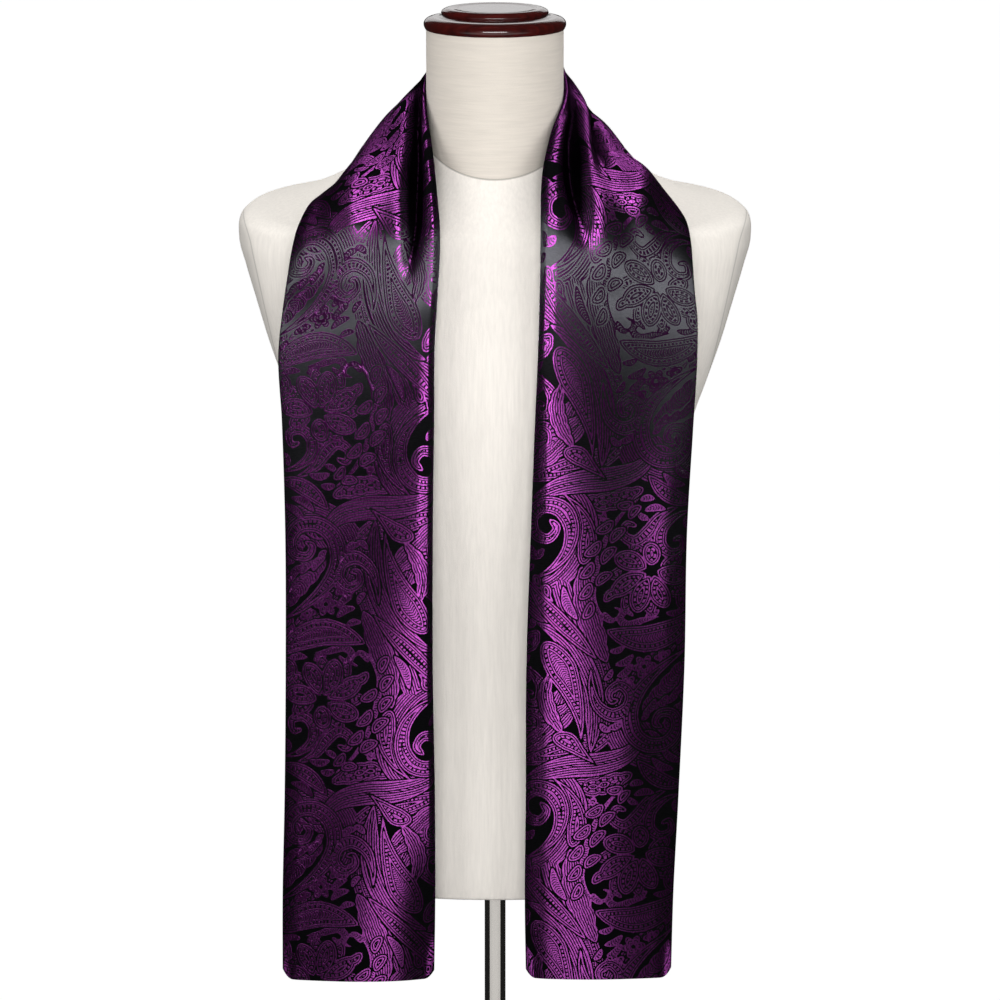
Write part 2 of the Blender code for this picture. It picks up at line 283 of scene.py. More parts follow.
# Broad soft swells of the front third: where one runs, the cloth falls away from its
# middle line by up to drop. Each fades in and out over the fade length at its ends.
Swell = namedtuple("Swell", "start end across_start across_end width drop fade")
SWELLS = rows_of(
    Swell,
    (-1150, -240, 94, -21, 72, 11, 110),
    (170, 1150, 17, 72, 74, 10, 110),
)
# Folds too soft or too fine for the solid.
SOFT_FOLDS = rows_of(
    Fold,
    (-1010, -760, -8, -6, 24, -6.5),
    (-640, -440, 118, 108, 22, 2.2),
    (380, 660, 122, 126, 30, 5),
    (620, 820, 96, 84, 20, 1.5),
    (-800, -600, 92, 70, 20, 1.2),
)


def swell(where, across):
    """How far the front third's broad swells set it back at a place on the strip."""
    height = 0.0
    for s in SWELLS:
        strength = eased((where - s.start) / s.fade) * eased((s.end - where) / s.fade)
        if strength > 0:
            t = (where - s.start) / (s.end - s.start)
            centre = s.across_start + t * (s.across_end - s.across_start)
            height += s.drop * strength * (np.exp(-(((across - centre) / s.width) ** 2)) - 1)
    return height


def roll_places(roll):
    """Distances from a fold that follow the turn of its roll evenly, without the last."""
    turn = np.linspace(0, math.pi / 2, ROLL_STEPS, endpoint=False)
    return roll * (1 - np.cos(turn))


def hidden_roll(height):
    return height * height / FOLD_RADIUS


def rim_set_back(where, place, front):
    """How far the leaning rim beside the inner fold stays behind the front's height."""
    lean = np.interp(where, [r.along for r in RIMS], [r.lean for r in RIMS])
    short = np.clip(RIM_WIDTH - place, 0, None)
    return np.minimum(lean * short * short / (short + 2), RIM_SHARE * front)


def front_height(where, place, width, station):
    lift = rise(place, station.inner_roll) * rise(width - place, station.outer_roll)
    set_back = swell(where, place) + folded(SOFT_FOLDS, where, place)
    set_back = set_back - rim_set_back(where, place, station.front)
    return station.front * lift + gather(where, place) + set_back * lift


def layer_paths(where, station):
    """The rear, front and middle thirds of one section as three dense paths, each an
    array of (across, out), in the order in which the cloth runs."""
    inner, outer = ends_of(station)
    width = np.linalg.norm(outer - inner) - WALL
    depth = station.rear - LAYER_STEP

    roll = min(station.inner_roll, hidden_roll(station.rear))
    rear = np.concatenate([roll_places(roll), np.linspace(roll, width - REAR_LAP, 60)])[::-1]
    rear_out = -station.rear * rise(rear, roll) + REAR_SHARE * gather(where, rear)

    flat = np.linspace(station.inner_roll, width - station.outer_roll, 120)
    front = np.concatenate(
        [
            roll_places(station.inner_roll),
            flat,
            width - roll_places(station.outer_roll)[::-1],
        ]
    )
    front_out = front_height(where, front, width, station)

    roll = min(station.outer_roll, hidden_roll(FOLD_RADIUS + depth))
    middle = np.concatenate([width - roll_places(roll), np.linspace(width - roll, MIDDLE_LAP, 40)])
    middle_out = -depth * rise(width - middle, roll) + MIDDLE_SHARE * gather(where, middle)
    return [
        np.stack([across + WALL / 2, out], axis=1)
        for across, out in ((rear, rear_out), (front, front_out), (middle, middle_out))
    ]


def even_points(path, count, last):
    """count points at even distances along a path, with its end only if last is true,
    and the distance of each from the path's start."""
    along = distances(path)
    wanted = np.linspace(0, along[-1], count, endpoint=last)
    points = np.stack([np.interp(wanted, along, path[:, k]) for k in (0, 1)], axis=1)
    return points, wanted, along[-1]


def cloth_row(where, table, along):
    """One row of the fine mesh: places in space, each one's distance round the cloth from
    the outer fold, positive over the front and on round the back, and its painted crease shade."""
    station = station_at(where, table, along)
    rear, front, middle = layer_paths(where, station)
    rear, rear_at, rear_length = even_points(rear, REAR_COLUMNS, False)
    front, front_at, front_length = even_points(front, FRONT_COLUMNS, False)
    middle, middle_at, _ = even_points(middle, MIDDLE_COLUMNS, True)
    origin, right, forward = section_frame(where, table, along)
    flat = np.concatenate([rear, front, middle])
    # painted shade: the deeper a gather here, the darker its colour is painted
    depth = -gather(where, flat[:, 0]) * np.ones(len(flat))
    painted_crease_shade = np.clip((depth - PAINTED_SHADE_START) / (PAINTED_SHADE_END - PAINTED_SHADE_START), 0, 1)
    to_hem = min(where - along[0], along[-1] - where)
    width = flat[:, 0].max()
    corner = np.clip(1 - np.minimum(flat[:, 0], width - flat[:, 0]) / HEM_CORNER, 0, 1)
    rounding = HEM_LIFT * corner * corner * eased(1 - to_hem / HEM_FADE)
    round_cloth = np.concatenate(
        [front_length + rear_length - rear_at, front_length - front_at, -middle_at]
    )
    places = origin + flat[:, :1] * right + flat[:, 1:] * forward
    places[:, 2] += rounding
    return places, round_cloth, painted_crease_shade


def fine_stretch(start, end):
    """Places, distance round, distance along and painted crease shade, for every point of a stretch."""
    table, along = table_of_stations()
    first = along[0] if start is None else start
    last = along[-1] if end is None else end
    rows = np.linspace(first, last, max(2, round((last - first) / ROW_STEP)))
    made = [cloth_row(where, table, along) for where in rows]
    places, round_cloth, painted_crease_shade = (np.stack(values) for values in zip(*made))
    return places, round_cloth, np.repeat(rows[:, None], places.shape[1], axis=1), painted_crease_shade


def quads_of(grid):
    """The four corner values of every quad between the rows and columns of a grid."""
    return np.stack([grid[:-1, :-1], grid[1:, :-1], grid[1:, 1:], grid[:-1, 1:]], axis=2)


def grid_mesh(name, places):
    """A sheet of quads through a grid of places."""
    rows, columns = places.shape[:2]
    mesh = bpy.data.meshes.new(name)
    index = np.arange(rows * columns).reshape(rows, columns)
    corners = quads_of(index).reshape(-1, 4)
    mesh.vertices.add(rows * columns)
    mesh.vertices.foreach_set("co", (places * MM).astype(np.float32).ravel())
    mesh.loops.add(corners.size)
    mesh.loops.foreach_set("vertex_index", corners.astype(np.int32).ravel())
    mesh.polygons.add(len(corners))
    mesh.polygons.foreach_set("loop_start", np.arange(0, corners.size, 4, dtype=np.int32))
    mesh.update(calc_edges=True)
    mesh.validate()
    mesh.shade_smooth()
    return mesh, corners


def add_uv(mesh, name, corners, uv):
    layer = mesh.uv_layers.new(name=name)
    layer.data.foreach_set("uv", uv.reshape(-1, 2)[corners.ravel()].astype(np.float32).ravel())


# Where the bake map puts the cloth: one box, (left, bottom, width, height), for each part
# of the cloth and each length of the stretch. The front has most of the room.
BAKE_TWO_LENGTHS = {
    "rear": ((0.005, 0.700, 0.400, 0.160), (0.420, 0.700, 0.400, 0.160)),
    "front": ((0.005, 0.005, 0.800, 0.340), (0.005, 0.352, 0.800, 0.340)),
    "middle": ((0.005, 0.875, 0.280, 0.110), (0.300, 0.875, 0.280, 0.110)),
}
BAKE_ONE_LENGTH = {
    "rear": ((0.010, 0.530, 0.980, 0.280),),
    "front": ((0.010, 0.010, 0.980, 0.500),),
    "middle": ((0.010, 0.830, 0.980, 0.150),),
}


def add_bake_uv(mesh, round_cloth, along, boxes):
    """A second map for baking, in which no two parts of the cloth overlap."""
    rows, columns = round_cloth.shape
    uv = np.zeros((rows - 1, columns - 1, 4, 2), np.float32)
    cuts = {
        "rear": (0, REAR_COLUMNS),
        "front": (REAR_COLUMNS, REAR_COLUMNS + FRONT_COLUMNS),
        "middle": (REAR_COLUMNS + FRONT_COLUMNS, columns - 1),
    }
    for part, (first, last) in cuts.items():
        lengths = boxes[part]
        ends = np.linspace(0, rows - 1, len(lengths) + 1).astype(int)
        for (left, bottom, wide, high), start, end in zip(lengths, ends, ends[1:]):
            x = along[start : end + 1, first : last + 1]
            y = round_cloth[start : end + 1, first : last + 1]
            x = left + wide * (x - x.min()) / (x.max() - x.min())
            y = bottom + high * (y - y.min()) / (y.max() - y.min())
            at = np.stack([x, y], axis=-1)
            uv[start:end, first:last] = quads_of(at)
    layer = mesh.uv_layers.new(name="OFBake")
    layer.data.foreach_set("uv", uv.ravel())


# ---- The form's fine pieces ----

# Rings from the torso's flat underside up to the neck seam and the cap. A ring is a
# superellipse at a side height, and slope tips it up towards the back. They are refitted
# to the photograph, so the shoulders and the front below the neck differ from the part's.
Ring = namedtuple("Ring", "height half_width front back squareness slope")
TORSO_RINGS = rows_of(
    Ring,
    (827.4, 142.4, 99.6, 106.4, 2.3, 0.00),
    (828.4, 143.6, 100.7, 107.6, 2.3, 0.00),
    (831, 144.2, 101.2, 108.2, 2.3, 0.00),
    (860, 148, 104, 114, 2.3, 0.00),
    (910, 149, 105, 117, 2.3, 0.00),
    (970, 144, 103, 107, 2.3, 0.00),
    (1040, 138, 102, 91, 2.3, 0.00),
    (1110, 145, 106, 87, 2.3, 0.00),
    (1180, 158, 113, 95, 2.4, 0.00),
    (1230, 169, 117, 104, 2.4, 0.00),
    (1265, 181, 119, 109, 2.5, 0.00),
    (1300, 193, 118, 112, 2.5, 0.00),
    (1335, 203, 114.5, 112, 2.6, 0.01),
    (1365, 211.5, 110, 108, 2.6, 0.03),
    (1388, 217, 105.5, 103, 2.6, 0.05),
    (1404, 215.5, 101.8, 98, 2.5, 0.080),
    (1411, 207, 100.9, 95, 2.4, 0.125),
    (1415, 189, 100.3, 92, 2.2, 0.150),
    (1421, 161, 99.6, 89, 2.1, 0.193),
    (1431, 134, 98.2, 84, 2.0, 0.266),
    (1442, 108, 95.8, 79, 2.0, 0.332),
    (1454, 86, 91.8, 74, 2.0, 0.389),
    (1467, 70, 85.8, 69, 2.0, 0.430),
    (1480, 61, 77, 64, 2.0, 0.450),
)
NECK_RINGS = rows_of(
    Ring,
    (1480, 61, 77, 64, 2.0, 0.45),
    (1495, 58.6, 73, 61, 2.0, 0.36),
    (1515, 58, 68, 59, 2.0, 0.22),
    (1540, 58, 63, 58, 2.0, 0.08),
    (1561.5, 58, 60, 58, 2.0, 0.00),
)
SEAM_GAP = 0.3
FORM_ROUND = 180  # points round the torso and neck
RING_STEP = 2.6  # mm between the fine rings

# The turned cap, as a profile of radius and height above the neck.
TurnedPoint = namedtuple("TurnedPoint", "radius height")
CAP_PROFILE = rows_of(
    TurnedPoint,
    (0, 17.2),
    (30, 17.2),
    (42.5, 16.9),
    (44.6, 15.6),
    (45.2, 13.8),
    (44.2, 11.6),
    (47.0, 10.6),
    (53.5, 10.1),
    (57.6, 8.7),
    (59.8, 6.0),
    (60.0, 3.6),
    (59.2, 1.2),
    (58.5, 0),
    (0, 0),
)
CAP_CENTRE_Y = -1
CAP_ROUND = 128
CAP_STEP = 0.6


def smooth_table(table, step):
    """Rows of a table on a smooth curve through it, about step apart."""
    at = distances(table[:, :2])
    slopes = np.gradient(table, at, axis=0)
    rows = []
    for i, span in enumerate(np.diff(at)):
        for t in np.linspace(0, 1, max(1, math.ceil(span / step)), endpoint=False):
            rows.append(between(t, span, table[i], table[i + 1], slopes[i], slopes[i + 1]))
    return np.array(rows + [table[-1]])


def ring_points(ring, lift):
    angle = np.linspace(0, 2 * math.pi, FORM_ROUND, endpoint=False)
    power = 2 / ring.squareness
    side, depth = np.cos(angle), np.sin(angle)
    x = ring.half_width * np.sign(side) * np.abs(side) ** power
    y = np.sign(depth) * np.abs(depth) ** power * np.where(depth > 0, ring.back, ring.front)
    return np.stack([x, y, ring.height + lift + ring.slope * y], axis=1)


def closed_mesh(name, loops):
    """A closed skin of quads over loops of points, with a flat face at each end."""
    count = loops.shape[1]
    shape = bmesh.new()
    made = [[shape.verts.new(p) for p in loop * MM] for loop in loops]
    for lower, upper in zip(made, made[1:]):
        for i in range(count):
            j = (i + 1) % count
            shape.faces.new((lower[i], lower[j], upper[j], upper[i]))
    shape.faces.new(made[0])
    shape.faces.new(made[-1])
    bmesh.ops.recalc_face_normals(shape, faces=shape.faces)
    mesh = bpy.data.meshes.new(name)
    shape.to_mesh(mesh)
    shape.free()
    mesh.shade_smooth()
    mesh.set_sharp_from_angle(angle=math.radians(50))
    return mesh


def fine_rings(name, rings, lift):
    fine = smooth_table(np.array(rings, dtype=float), RING_STEP)
    return closed_mesh(name, np.stack([ring_points(Ring(*row), lift) for row in fine]))


def fine_cap(name, bottom):
    profile = smooth_table(np.array(CAP_PROFILE[1:-1], dtype=float), CAP_STEP)
    angle = np.linspace(0, 2 * math.pi, CAP_ROUND, endpoint=False)
    loops = [
        np.stack(
            [r * np.cos(angle), CAP_CENTRE_Y + r * np.sin(angle), np.full(CAP_ROUND, bottom + h)],
            axis=1,
        )
        for r, h in profile
    ]
    return closed_mesh(name, np.stack(loops))


def add_form_piece(name, mesh, node, look):
    mesh.materials.append(look)
    piece = new_object(name, mesh)
    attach(piece, "root")
    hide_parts(node)
    return piece


# ---- The woven design ----

# Paisley as ribbons on a repeating tile. x is the distance round the cloth from the
# outer fold and y is along the strip; a ribbon has a middle line through its points, a
# half width that a taper shapes from its start to its end, and a way of filling it.
# Layer 1 lies over layer 2, and so on. The main motifs stand near the photograph's, at
# places read from it.
TILE_WIDTH = 140.0
TILE_HEIGHT = 245.0
TILE_START = -490.0
LAYERS = (1, 2, 3, 4)
Ribbon = namedtuple("Ribbon", "layer weave taper half_width points")
RINGS, LINES, HATCH = 0, 1, 2
OUTSIDE = (9.0, -9.0, 0.0)  # distance, half width and arc of a place far from any ribbon
REACH = 3.0  # how far outside a ribbon its own values are still kept
LARGEST_BATCH = 2000000  # the most pairs of place and ribbon point taken in one go
RIBBONS = []


def add(layer, weave, taper, half_width, *points):
    RIBBONS.append(Ribbon(layer, weave, taper, half_width, points))


def add_sprigs(layer, weave, taper, rows):
    """Small ribbons, each a bowed stroke from (x, y) by (dx, dy)."""
    for x, y, dx, dy, half_width in rows:
        bow = 0.12
        middle = (x + dx * 0.5 - dy * bow, y + dy * 0.5 + dx * bow)
        add(layer, weave, taper, half_width, (x, y), middle, (x + dx, y + dy))


def add_flower(layer, x, y, inner, petals):
    """Petals round (x, y), each given by its tip and half width."""
    for tip_x, tip_y, half_width in petals:
        reach = math.hypot(tip_x - x, tip_y - y)
        start = (x + (tip_x - x) * inner / reach, y + (tip_y - y) * inner / reach)
        middle = (
            (start[0] + tip_x) / 2 + (tip_y - y) * 0.05,
            (start[1] + tip_y) / 2 - (tip_x - x) * 0.05,
        )
        add(layer, RINGS, "petal", half_width, start, middle, (tip_x, tip_y))


def add_rosette(layer, x, y, radius, count, half_width):
    for k in range(count):
        a = 2 * math.pi * k / count
        add(
            layer,
            HATCH,
            "leaf",
            half_width,
            (x + 0.22 * radius * math.cos(a), y + 0.22 * radius * math.sin(a)),
            (x + radius * math.cos(a + 0.15), y + radius * math.sin(a + 0.15)),
        )


# The large beaded paisley with a curled head, and what grows inside it.
add(1, RINGS, "horn", 7.4, (-2, 134), (14, 145), (29, 158), (41, 174), (46, 191), (41, 208),
    (28, 217), (13, 215), (5, 203), (9, 191), (20, 190), (24, 198), (18, 202))
add(3, LINES, "horn", 15.0, (4, 122), (20, 139), (38, 157), (51, 175), (55, 196), (47, 215),
    (28, 227), (8, 223), (-4, 209))
add_sprigs(2, HATCH, "leaf", (
    (24, 177, 11, 13, 3.2), (14, 174, 13, 12, 3.2), (5, 167, 11, 15, 3.2),
    (0, 156, 6, 18, 3.4), (-8, 148, 6, 17, 3.2), (30, 186, 6, 9, 2.6), (14, 184, 5, 4, 2.4),
))
add(3, HATCH, "frond", 7.0, (-8, 138), (4, 152), (17, 168), (30, 182), (34, 196))
# Small flowers and leaves under it.
add_rosette(1, 35, 149, 10.0, 6, 3.0)
add_rosette(1, 49, 163, 7.5, 5, 2.6)
add_rosette(2, 19, 141, 7.5, 5, 2.6)
add_sprigs(1, HATCH, "leaf", (
    (45, 146, 13, 11, 3.2), (44, 138, 16, 9, 3.2), (57, 158, 4, 13, 2.8), (27, 136, -14, -9, 3.0),
    (36, 137, -8, -9, 2.6), (8, 131, -9, -8, 2.6), (62, 150, 7, 10, 2.6), (52, 131, 13, 4, 2.8),
))
# The snail.
add(1, RINGS, "horn", 6.0, (80, 150), (79, 166), (73, 182), (60, 190), (48, 184), (46, 172),
    (55, 164), (64, 170), (62, 178), (56, 177))
add_sprigs(1, HATCH, "leaf", ((52, 196, 12, 5, 3.0), (62, 204, 9, -7, 2.8)))
# The slim paisley that hangs from the top, with the plume behind it.
add(1, RINGS, "drop", 12.5, (86, 214), (88, 194), (94, 173), (103, 153), (114, 136), (119, 129))
add(2, LINES, "leaf", 10.0, (78, 222), (76, 196), (79, 170), (87, 148), (100, 128),
    (113, 117), (127, 110))
add(3, RINGS, "leaf", 11.0, (62, 206), (66, 180), (72, 156), (84, 133), (104, 113), (124, 97), (139, 87))
add(1, LINES, "frond", 7.0, (103, 204), (113, 189), (118, 173), (115, 154))
# Curls at the inner edge.
add(2, RINGS, "horn", 5.4, (143, 146), (130, 154), (121, 166), (124, 179), (134, 180),
    (134, 171), (128, 171))
add(2, RINGS, "horn", 5.4, (144, 219), (130, 213), (119, 202), (121, 190), (132, 187),
    (136, 195), (129, 198))
add(3, HATCH, "frond", 6.0, (138, 142), (140, 160), (139, 182))
# Plumes that fall to the inner edge.
add(2, LINES, "frond", 10.5, (67, 144), (75, 126), (83, 106), (89, 86), (91, 62))
add(3, LINES, "leaf", 10.0, (80, 132), (93, 112), (103, 94), (109, 76), (112, 56))
add(1, RINGS, "leaf", 6.6, (76, 141), (93, 123), (110, 106), (126, 89), (140, 71))
add(1, HATCH, "leaf", 3.8, (93, 107), (102, 94), (106, 78))
add(3, LINES, "leaf", 8.0, (112, 112), (126, 100), (140, 90), (156, 76))
add_sprigs(1, RINGS, "drop", ((113, 92, 8, -14, 4.2), (122, 82, 8, -12, 4.0)))
# The lens leaf, and the curl under it.
add(1, RINGS, "leaf", 11.5, (-6, 104), (12, 118), (34, 125), (54, 122), (68, 117))
add(2, HATCH, "horn", 3.8, (24, 106), (38, 109), (50, 113), (57, 107), (52, 101), (46, 105))
add_sprigs(2, HATCH, "leaf", ((2, 100, 17, 3, 3.0), (24, 100, 12, 5, 2.6), (62, 110, 9, -9, 3.0)))
add(2, RINGS, "drop", 7.5, (2, 74), (4, 88), (1, 99))
# The flower on its two scrolls.
add_flower(1, 32, 66, 5.0, (
    (43, 101, 9.0), (18, 97, 8.2), (2, 71, 8.6), (65, 87, 8.2), (62, 55, 8.8), (34, 45, 7.4),
))
add_flower(2, 32, 66, 8.0, ((31, 104, 6.5), (55, 100, 6.5), (4, 88, 6.5), (68, 71, 6.0),
    (8, 55, 6.5), (50, 44, 6.5)))
add(2, RINGS, "horn", 5.2, (-2, 16), (12, 20), (24, 31), (25, 44), (16, 52), (6, 48), (8, 39), (15, 41))
add(2, RINGS, "horn", 5.6, (9, 10), (27, 20), (37, 34), (47, 41), (57, 35), (54, 26), (46, 28))
add_sprigs(2, HATCH, "leaf", ((0, 32, 4, -11, 3.0), (36, 22, 9, -5, 2.8),
    (30, 44, 8, -9, 2.8), (64, 40, -5, -11, 2.8)))
# The leafy stem.
add(2, HATCH, "horn", 2.8, (40, 0), (59, 18), (71, 38), (79, 66), (80, 90), (71, 106),
    (60, 107), (57, 100), (63, 97))
add_sprigs(1, RINGS, "leaf", (
    (71, 92, -13, -9, 4.6), (78, 78, -13, -10, 4.4), (74, 60, -12, -14, 4.6), (67, 42, -12, -12, 4.4),
    (82, 92, 6, 14, 4.2), (83, 76, 9, 13, 4.4), (82, 58, 10, 13, 4.4), (76, 40, 13, 12, 4.6),
    (66, 23, 14, 9, 4.6), (52, 22, -9, -11, 4.0), (50, 8, 13, 2, 4.0),
))
# The whorl at the lower inner edge, with its bulb.
add(1, RINGS, "horn", 7.4, (131, 72), (115, 62), (103, 46), (101, 27), (110, 12), (125, 9), (135, 20),
    (131, 34), (119, 37), (113, 28), (119, 21))
add(3, LINES, "leaf", 12.5, (134, 84), (110, 70), (95, 48), (91, 24), (101, 2), (122, -8))
add(2, RINGS, "drop", 8.0, (110, -2), (96, 11), (88, 27), (87, 44), (90, 58))
add_sprigs(1, HATCH, "leaf", ((123, 46, 12, 8, 3.4), (136, 44, -3, 12, 3.2), (132, 60, 9, 5, 3.0)))
# Sweeps that run off to the outer edge.
add(2, LINES, "leaf", 10.0, (136, 4), (116, -6), (94, -11), (70, -13), (48, -20), (30, -38))
add(3, RINGS, "leaf", 9.5, (144, -10), (120, -19), (98, -25), (76, -32), (60, -47), (53, -66))
add(1, RINGS, "drop", 7.6, (74, -13), (86, -23), (98, -33), (108, -36))
add(2, LINES, "frond", 10.0, (142, -22), (124, -33), (110, -47), (97, -60), (80, -68))
add(4, LINES, "leaf", 12.0, (142, -42), (124, -48), (110, -60), (100, -80))
add(3, HATCH, "frond", 8.0, (66, -18), (50, -26), (36, -34), (20, -30), (6, -22))
add(4, RINGS, "frond", 9.0, (42, -4), (58, 3), (76, 7), (95, 4))
add_rosette(4, 76, 24, 8.0, 6, 2.8)
add_sprigs(4, HATCH, "leaf", ((128, 106, 10, 8, 3.6), (104, 122, 10, -9, 3.4), (98, 182, 8, -14, 3.6)))
add(4, HATCH, "frond", 6.5, (-4, 178), (6, 190), (14, 206), (12, 220))
add(4, RINGS, "frond", 8.0, (126, 118), (134, 128), (146, 136))
# Leaves at the lower outer edge.
add(1, RINGS, "leaf", 6.8, (-5, 8), (10, 6), (25, -2), (38, -15))
add_sprigs(1, HATCH, "leaf", (
    (6, -6, 20, -11, 3.4), (-2, -12, 20, -14, 3.4), (40, 15, -18, -1, 3.2), (44, 6, -12, -1, 3.0),
))
add(4, LINES, "leaf", 10.0, (-6, -18), (10, -24), (26, -34), (38, -50))


def spline(points, step=1.0):
    """A smooth curve through points, with a place about every step."""
    p = np.array(points, float)
    if len(p) == 2:
        p = np.array([p[0], (p[0] + p[1]) / 2, p[1]])
    pace = np.concatenate([[0], np.cumsum(np.linalg.norm(np.diff(p, axis=0), axis=1) ** 0.5)])
    slope = np.gradient(p, pace, axis=0)
    out = []
    for i in range(len(p) - 1):
        span = pace[i + 1] - pace[i]
        count = max(2, int(np.linalg.norm(p[i + 1] - p[i]) / step) + 1)
        t = np.linspace(0, 1, count, endpoint=False)[:, None]
        out.append(between(t, span, p[i], p[i + 1], slope[i], slope[i + 1]))
    out.append(p[-1:])
    return np.concatenate(out)


def width_of(taper, t):
    """The share of a ribbon's half width at t, from 0 at its start to 1 at its end."""
    if taper == "leaf":
        return np.sin(np.pi * t) ** 0.75
    if taper == "frond":
        return np.sin(np.pi * t) ** 0.6 * (0.72 + 0.28 * np.abs(np.sin(5.5 * np.pi * t)))
    if taper == "petal":
        return np.clip(np.sin(np.pi * t**1.25), 0, 1) ** 0.7
    if taper == "drop":
        head = np.clip(t - 0.72, 0, 1) / 0.28
        return np.clip(t / 0.72, 0, 1) ** 1.1 * np.sqrt(np.clip(1 - head**2, 0, 1))
    growth = np.clip(t / 0.45, 0, 1) ** 0.7
    tail = 1 - np.clip((t - 0.45) / 0.55, 0, 1) ** 1.5 * 0.66
    return growth * tail * np.clip((1 - t) / 0.03, 0, 1) ** 0.5


def near_ribbon(ribbon, line, px, py):
    """Distance, half width and arc of the part of one ribbon that is nearest each place."""
    steps = np.diff(line, axis=0)
    lengths = np.linalg.norm(steps, axis=1)
    arcs = distances(line)
    rx, ry = px[:, None] - line[:-1, 0], py[:, None] - line[:-1, 1]
    t = np.clip((rx * steps[:, 0] + ry * steps[:, 1]) / lengths**2, 0, 1)
    away = np.hypot(rx - t * steps[:, 0], ry - t * steps[:, 1])
    arc = arcs[:-1] + t * lengths
    half = ribbon.half_width * width_of(ribbon.taper, np.clip(arc / arcs[-1], 0, 1))
    rows = np.arange(len(px))
    k = np.argmin(away - half, axis=1)
    return away[rows, k], half[rows, k], arc[rows, k]


def evaluate(x, y, layer):
    """Distance from a middle line, half width, arc and weave of the nearest ribbon."""
    best = np.full(len(x), REACH)
    fields = np.tile(np.array(OUTSIDE + (0.0,)), (len(x), 1))
    xm, ym = np.mod(x, TILE_WIDTH), np.mod(y, TILE_HEIGHT)
    for ribbon in RIBBONS:
        if ribbon.layer != layer:
            continue
        line = spline(ribbon.points)
        low = line.min(0) - ribbon.half_width - REACH
        high = line.max(0) + ribbon.half_width + REACH
        for ox in (-TILE_WIDTH, 0, TILE_WIDTH):
            for oy in (-TILE_HEIGHT, 0, TILE_HEIGHT):
                near = (xm > low[0] + ox) & (xm < high[0] + ox)
                near &= (ym > low[1] + oy) & (ym < high[1] + oy)
                places = np.flatnonzero(near)
                if not len(places):
                    continue
                for part in np.array_split(places, max(1, len(places) * len(line) // LARGEST_BATCH)):
                    away, half, arc = near_ribbon(ribbon, line, xm[part] - ox, ym[part] - oy)
                    closer = away - half < best[part]
                    chosen = part[closer]
                    best[chosen] = (away - half)[closer]
                    fields[chosen, :3] = np.stack([away, half, arc], axis=1)[closer]
                    fields[chosen, 3] = ribbon.weave
    return fields.T


# ---- Materials ----


class Nodes:
    """A short way of writing a node tree."""

    def __init__(self, tree):
        self.tree = tree

    def add(self, kind, **settings):
        node = self.tree.nodes.new(kind)
        for key, value in settings.items():
            setattr(node, key, value)
        return node

    def put(self, socket, value):
        if isinstance(value, bpy.types.NodeSocket):
            self.tree.links.new(value, socket)
        elif value is not None:
            socket.default_value = value

    def math(self, operation, a, b=None, c=None, clamp=False):
        node = self.add("ShaderNodeMath", operation=operation, use_clamp=clamp)
        for socket, value in zip(node.inputs, (a, b, c)):
            self.put(socket, value)
        return node.outputs[0]

    def repeat(self, value, pitch, share):
        """1 over the first share of each pitch, and 0 over the rest."""
        return self.math("LESS_THAN", self.math("FRACT", self.math("DIVIDE", value, pitch)), share)

    def mix(self, factor, a, b, kind="FLOAT"):
        node = self.add("ShaderNodeMix", data_type=kind)
        sockets = {"FLOAT": (0, 2, 3, 0), "RGBA": (0, 6, 7, 2)}[kind]
        for socket, value in zip(sockets, (factor, a, b)):
            self.put(node.inputs[socket], value)
        return node.outputs[sockets[3]]

    def ramp(self, value, stops, smooth=True):
        node = self.add("ShaderNodeValToRGB")
        ramp = node.color_ramp
        ramp.interpolation = "LINEAR" if smooth else "CONSTANT"
        while len(ramp.elements) < len(stops):
            ramp.elements.new(0.5)
        for element, (place, color) in zip(ramp.elements, stops):
            element.position = place
            element.color = color if hasattr(color, "__len__") else (color, color, color, 1)
        self.put(node.inputs[0], value)
        return node.outputs[0]

    def noise(self, vector, scale, detail=2.0, rough=0.5):
        node = self.add("ShaderNodeTexNoise")
        self.put(node.inputs["Vector"], vector)
        node.inputs["Scale"].default_value = scale
        node.inputs["Detail"].default_value = detail
        node.inputs["Roughness"].default_value = rough
        return node.outputs["Fac"]

    def stretch(self, vector, scale):
        node = self.add("ShaderNodeMapping")
        self.put(node.inputs["Vector"], vector)
        node.inputs["Scale"].default_value = scale
        return node.outputs[0]

    def bump(self, height, strength, distance):
        node = self.add("ShaderNodeBump")
        node.inputs["Strength"].default_value = strength
        node.inputs["Distance"].default_value = distance
        self.put(node.inputs["Height"], height)
        return node.outputs[0]


def new_material(name):
    made = bpy.data.materials.new(name)
    made.use_nodes = True
    made.node_tree.nodes.clear()
    nodes = Nodes(made.node_tree)
    return made, nodes, nodes.add("ShaderNodeOutputMaterial").inputs["Surface"]


def principled(nodes, **inputs):
    node = nodes.add("ShaderNodeBsdfPrincipled")
    for key, value in inputs.items():
        nodes.put(node.inputs[key.replace("_", " ")], value)
    return node.outputs[0]


HALO = 1.3  # the plain ground that sets a ribbon off from what lies under it
EDGE = 1.05  # the width of the line of figure along a ribbon's edge
# The pitch of each filling, in millimetres, and the share of it that is thread.
HATCH_PITCH, HATCH_SHARE, HATCH_SLANT = 2.2, 0.64, 0.6
BEAD_PITCH, BEAD_SHARE = 3.4, 0.62
LINE_PITCH, LINE_SHARE, LINE_SHIFT = 2.1, 0.55, 0.5
# Nested rings, as (distance inside the ribbon's edge, what starts there).
RING_SPAN = 16.0
GAP, SOLID, BEADED, HATCHED = (0, 0, 0, 1), (1, 0, 0, 1), (0, 1, 0, 1), (0, 0, 1, 1)
RING_STARTS = (
    (0.0, GAP), (2.0, SOLID), (2.9, GAP), (3.6, BEADED),
    (5.4, GAP), (6.2, SOLID), (7.2, GAP), (8.0, HATCHED),
)
SATIN_ROUGHNESS = 0.45
SATIN_METALLIC = 0.96
SATIN_ANISOTROPY = 1.0
